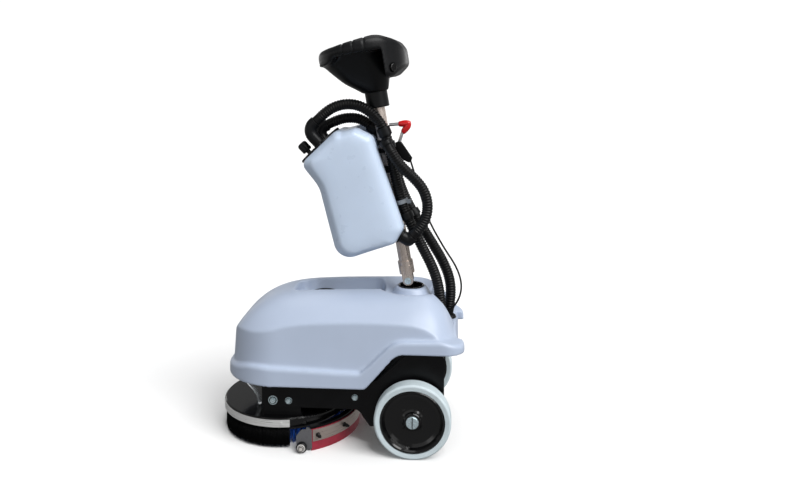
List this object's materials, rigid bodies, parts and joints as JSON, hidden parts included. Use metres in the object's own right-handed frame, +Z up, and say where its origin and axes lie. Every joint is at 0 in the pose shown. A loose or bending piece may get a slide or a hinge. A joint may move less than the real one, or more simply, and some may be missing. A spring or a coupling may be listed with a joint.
{
  "type": "walk-behind floor scrubber",
  "caption": "Compact walk-behind floor scrubber with a domed body, round brush deck, curved squeegee, two wheels, a tilting pole with recovery tank, ribbed hoses and a ring handle.",
  "frame": {"origin": "on the floor, under the middle of the overall box, with the pole at its forward stop", "axes": "+Z up, front of the machine with the brush at -X, its right-hand side at +Y"},
  "size_m": [0.6531, 0.4098, 1.0575],
  "materials": {
    "cover_grey": "satin moulded, light blue grey",
    "tank_white": "satin blow-moulded, pale blue white",
    "black_plastic": "satin moulded black",
    "black_gloss": "gloss black",
    "black_paint": "black powder coat",
    "grey_plastic": "satin mid grey",
    "steel": "drawn stainless tube",
    "zinc": "zinc plated",
    "chrome": "polished",
    "tyre_grey": "matte pale grey",
    "hose_black": "ribbed black hose",
    "red_vinyl": "dipped red",
    "blue_bristle": "blue nylon strands",
    "black_bristle": "black nylon strands",
    "blade_red": "matte red blade",
    "blade_dark": "matte dark blade",
    "clear_tube": "clear tube"
  },
  "bodies": {
    "chassis": {"chassis_frame": "black_paint", "deck_bracket": "black_paint", "frame_bolts": "zinc", "axle": "zinc", "solution_tank": "black_plastic", "pivot_bracket": "black_paint", "pivot_cup": "black_gloss", "pivot_pin": "zinc", "hose_grommets": "black_plastic", "body_cover": "cover_grey", "brush_deck": "black_gloss", "gear_motor": "black_paint", "skirt_band": "steel", "skirt_brush": "black_bristle", "water_tube": "clear_tube", "squeegee_pin": "zinc", "squeegee_hose": "hose_black", "vacuum_hose_lower": "hose_black", "suction_hose_lower": "hose_black", "lift_cable_lower": "hose_black"},
    "brush": {"brush_block": "black_plastic", "brush_bristles": "blue_bristle"},
    "wheel_left": {"tyre_left": "tyre_grey", "hub_left": "black_gloss"},
    "wheel_right": {"tyre_right": "tyre_grey", "hub_right": "black_gloss"},
    "squeegee": {"squeegee_frame": "black_paint", "rear_blade": "blade_red", "front_blade": "blade_dark", "clamp_strip": "steel", "clamp_knobs": "black_plastic", "end_plates": "grey_plastic", "suction_nozzle": "black_plastic"},
    "bumper_left": {"roller_left": "black_plastic"},
    "bumper_right": {"roller_right": "black_plastic"},
    "pole": {"pole_tube": "steel", "pole_yoke": "steel", "recovery_tank": "tank_white", "tank_lid": "black_plastic", "lid_insert": "grey_plastic", "lid_elbows": "black_plastic", "tank_bracket": "black_plastic", "vacuum_hose": "hose_black", "suction_hose": "hose_black", "drain_hose": "hose_black", "drain_elbow": "black_plastic", "hose_clips": "black_plastic", "hose_tie": "grey_plastic", "lift_cable": "hose_black", "lever_bracket": "black_paint", "handle_sleeve": "black_plastic", "handle_upper": "black_plastic", "handle_lower": "black_plastic", "control_panel": "grey_plastic"},
    "lever": {"lever_rod": "chrome", "lever_grip": "red_vinyl"},
    "clamp_knob": {"lid_knob": "black_plastic"},
    "push_button": {"button": "black_gloss"},
    "fill_cap": {"filler_cap": "black_plastic"},
    "drain_stopper": {"drain_plug": "black_plastic"}
  },
  "joints": [
    {"name": "brush_spin", "type": "hinge", "parent": "chassis", "child": "brush", "pos_m": [-0.154, 0, 0.05], "axis": [0, 0, 1], "continuous": true},
    {"name": "wheel_left_spin", "type": "hinge", "parent": "chassis", "child": "wheel_left", "pos_m": [0.201, -0.182, 0.097], "axis": [0, 1, 0], "continuous": true},
    {"name": "wheel_right_spin", "type": "hinge", "parent": "chassis", "child": "wheel_right", "pos_m": [0.201, 0.182, 0.097], "axis": [0, 1, 0], "continuous": true},
    {"name": "squeegee_lift", "type": "hinge", "parent": "chassis", "child": "squeegee", "pos_m": [0.139, 0, 0.066], "axis": [0, 1, 0], "range_deg": [0, 10], "deforming": ["squeegee_hose"]},
    {"name": "bumper_left_spin", "type": "hinge", "parent": "squeegee", "child": "bumper_left", "pos_m": [-0.082, -0.184, 0.0142], "axis": [0, 1, 0], "continuous": true},
    {"name": "bumper_right_spin", "type": "hinge", "parent": "squeegee", "child": "bumper_right", "pos_m": [-0.082, 0.184, 0.0142], "axis": [0, 1, 0], "continuous": true},
    {"name": "pole_tilt", "type": "hinge", "parent": "chassis", "child": "pole", "pos_m": [0.179, 0, 0.408], "axis": [0, 1, 0], "range_deg": [0, 76], "deforming": ["vacuum_hose_lower", "suction_hose_lower", "lift_cable_lower"]},
    {"name": "lever_swing", "type": "hinge", "parent": "pole", "child": "lever", "pos_m": [0.15384, 0, 0.77102], "axis": [0, 1, 0], "range_deg": [0, 70]},
    {"name": "lid_knob_turn", "type": "hinge", "parent": "pole", "child": "clamp_knob", "pos_m": [-0.09324, -0.012, 0.75891], "axis": [-0.6921, 0, 0.7218], "continuous": true},
    {"name": "button_press", "type": "slide", "parent": "pole", "child": "push_button", "axis": [-0.7207, 0.682, -0.1245], "range_m": [0, 0.0025], "stiffness_N_per_m": 400},
    {"name": "filler_cap_turn", "type": "hinge", "parent": "chassis", "child": "fill_cap", "pos_m": [-0.049, 0, 0.362], "axis": [0, 0, 1], "continuous": true},
    {"name": "drain_plug_pull", "type": "slide", "parent": "pole", "child": "drain_stopper", "axis": [-0.4731, 0, 0.881], "range_m": [0, 0.012]}
  ],
  "couplings": [
    {"joint": "lever_swing", "follows": "squeegee_lift", "ratio": 7}
  ]
}
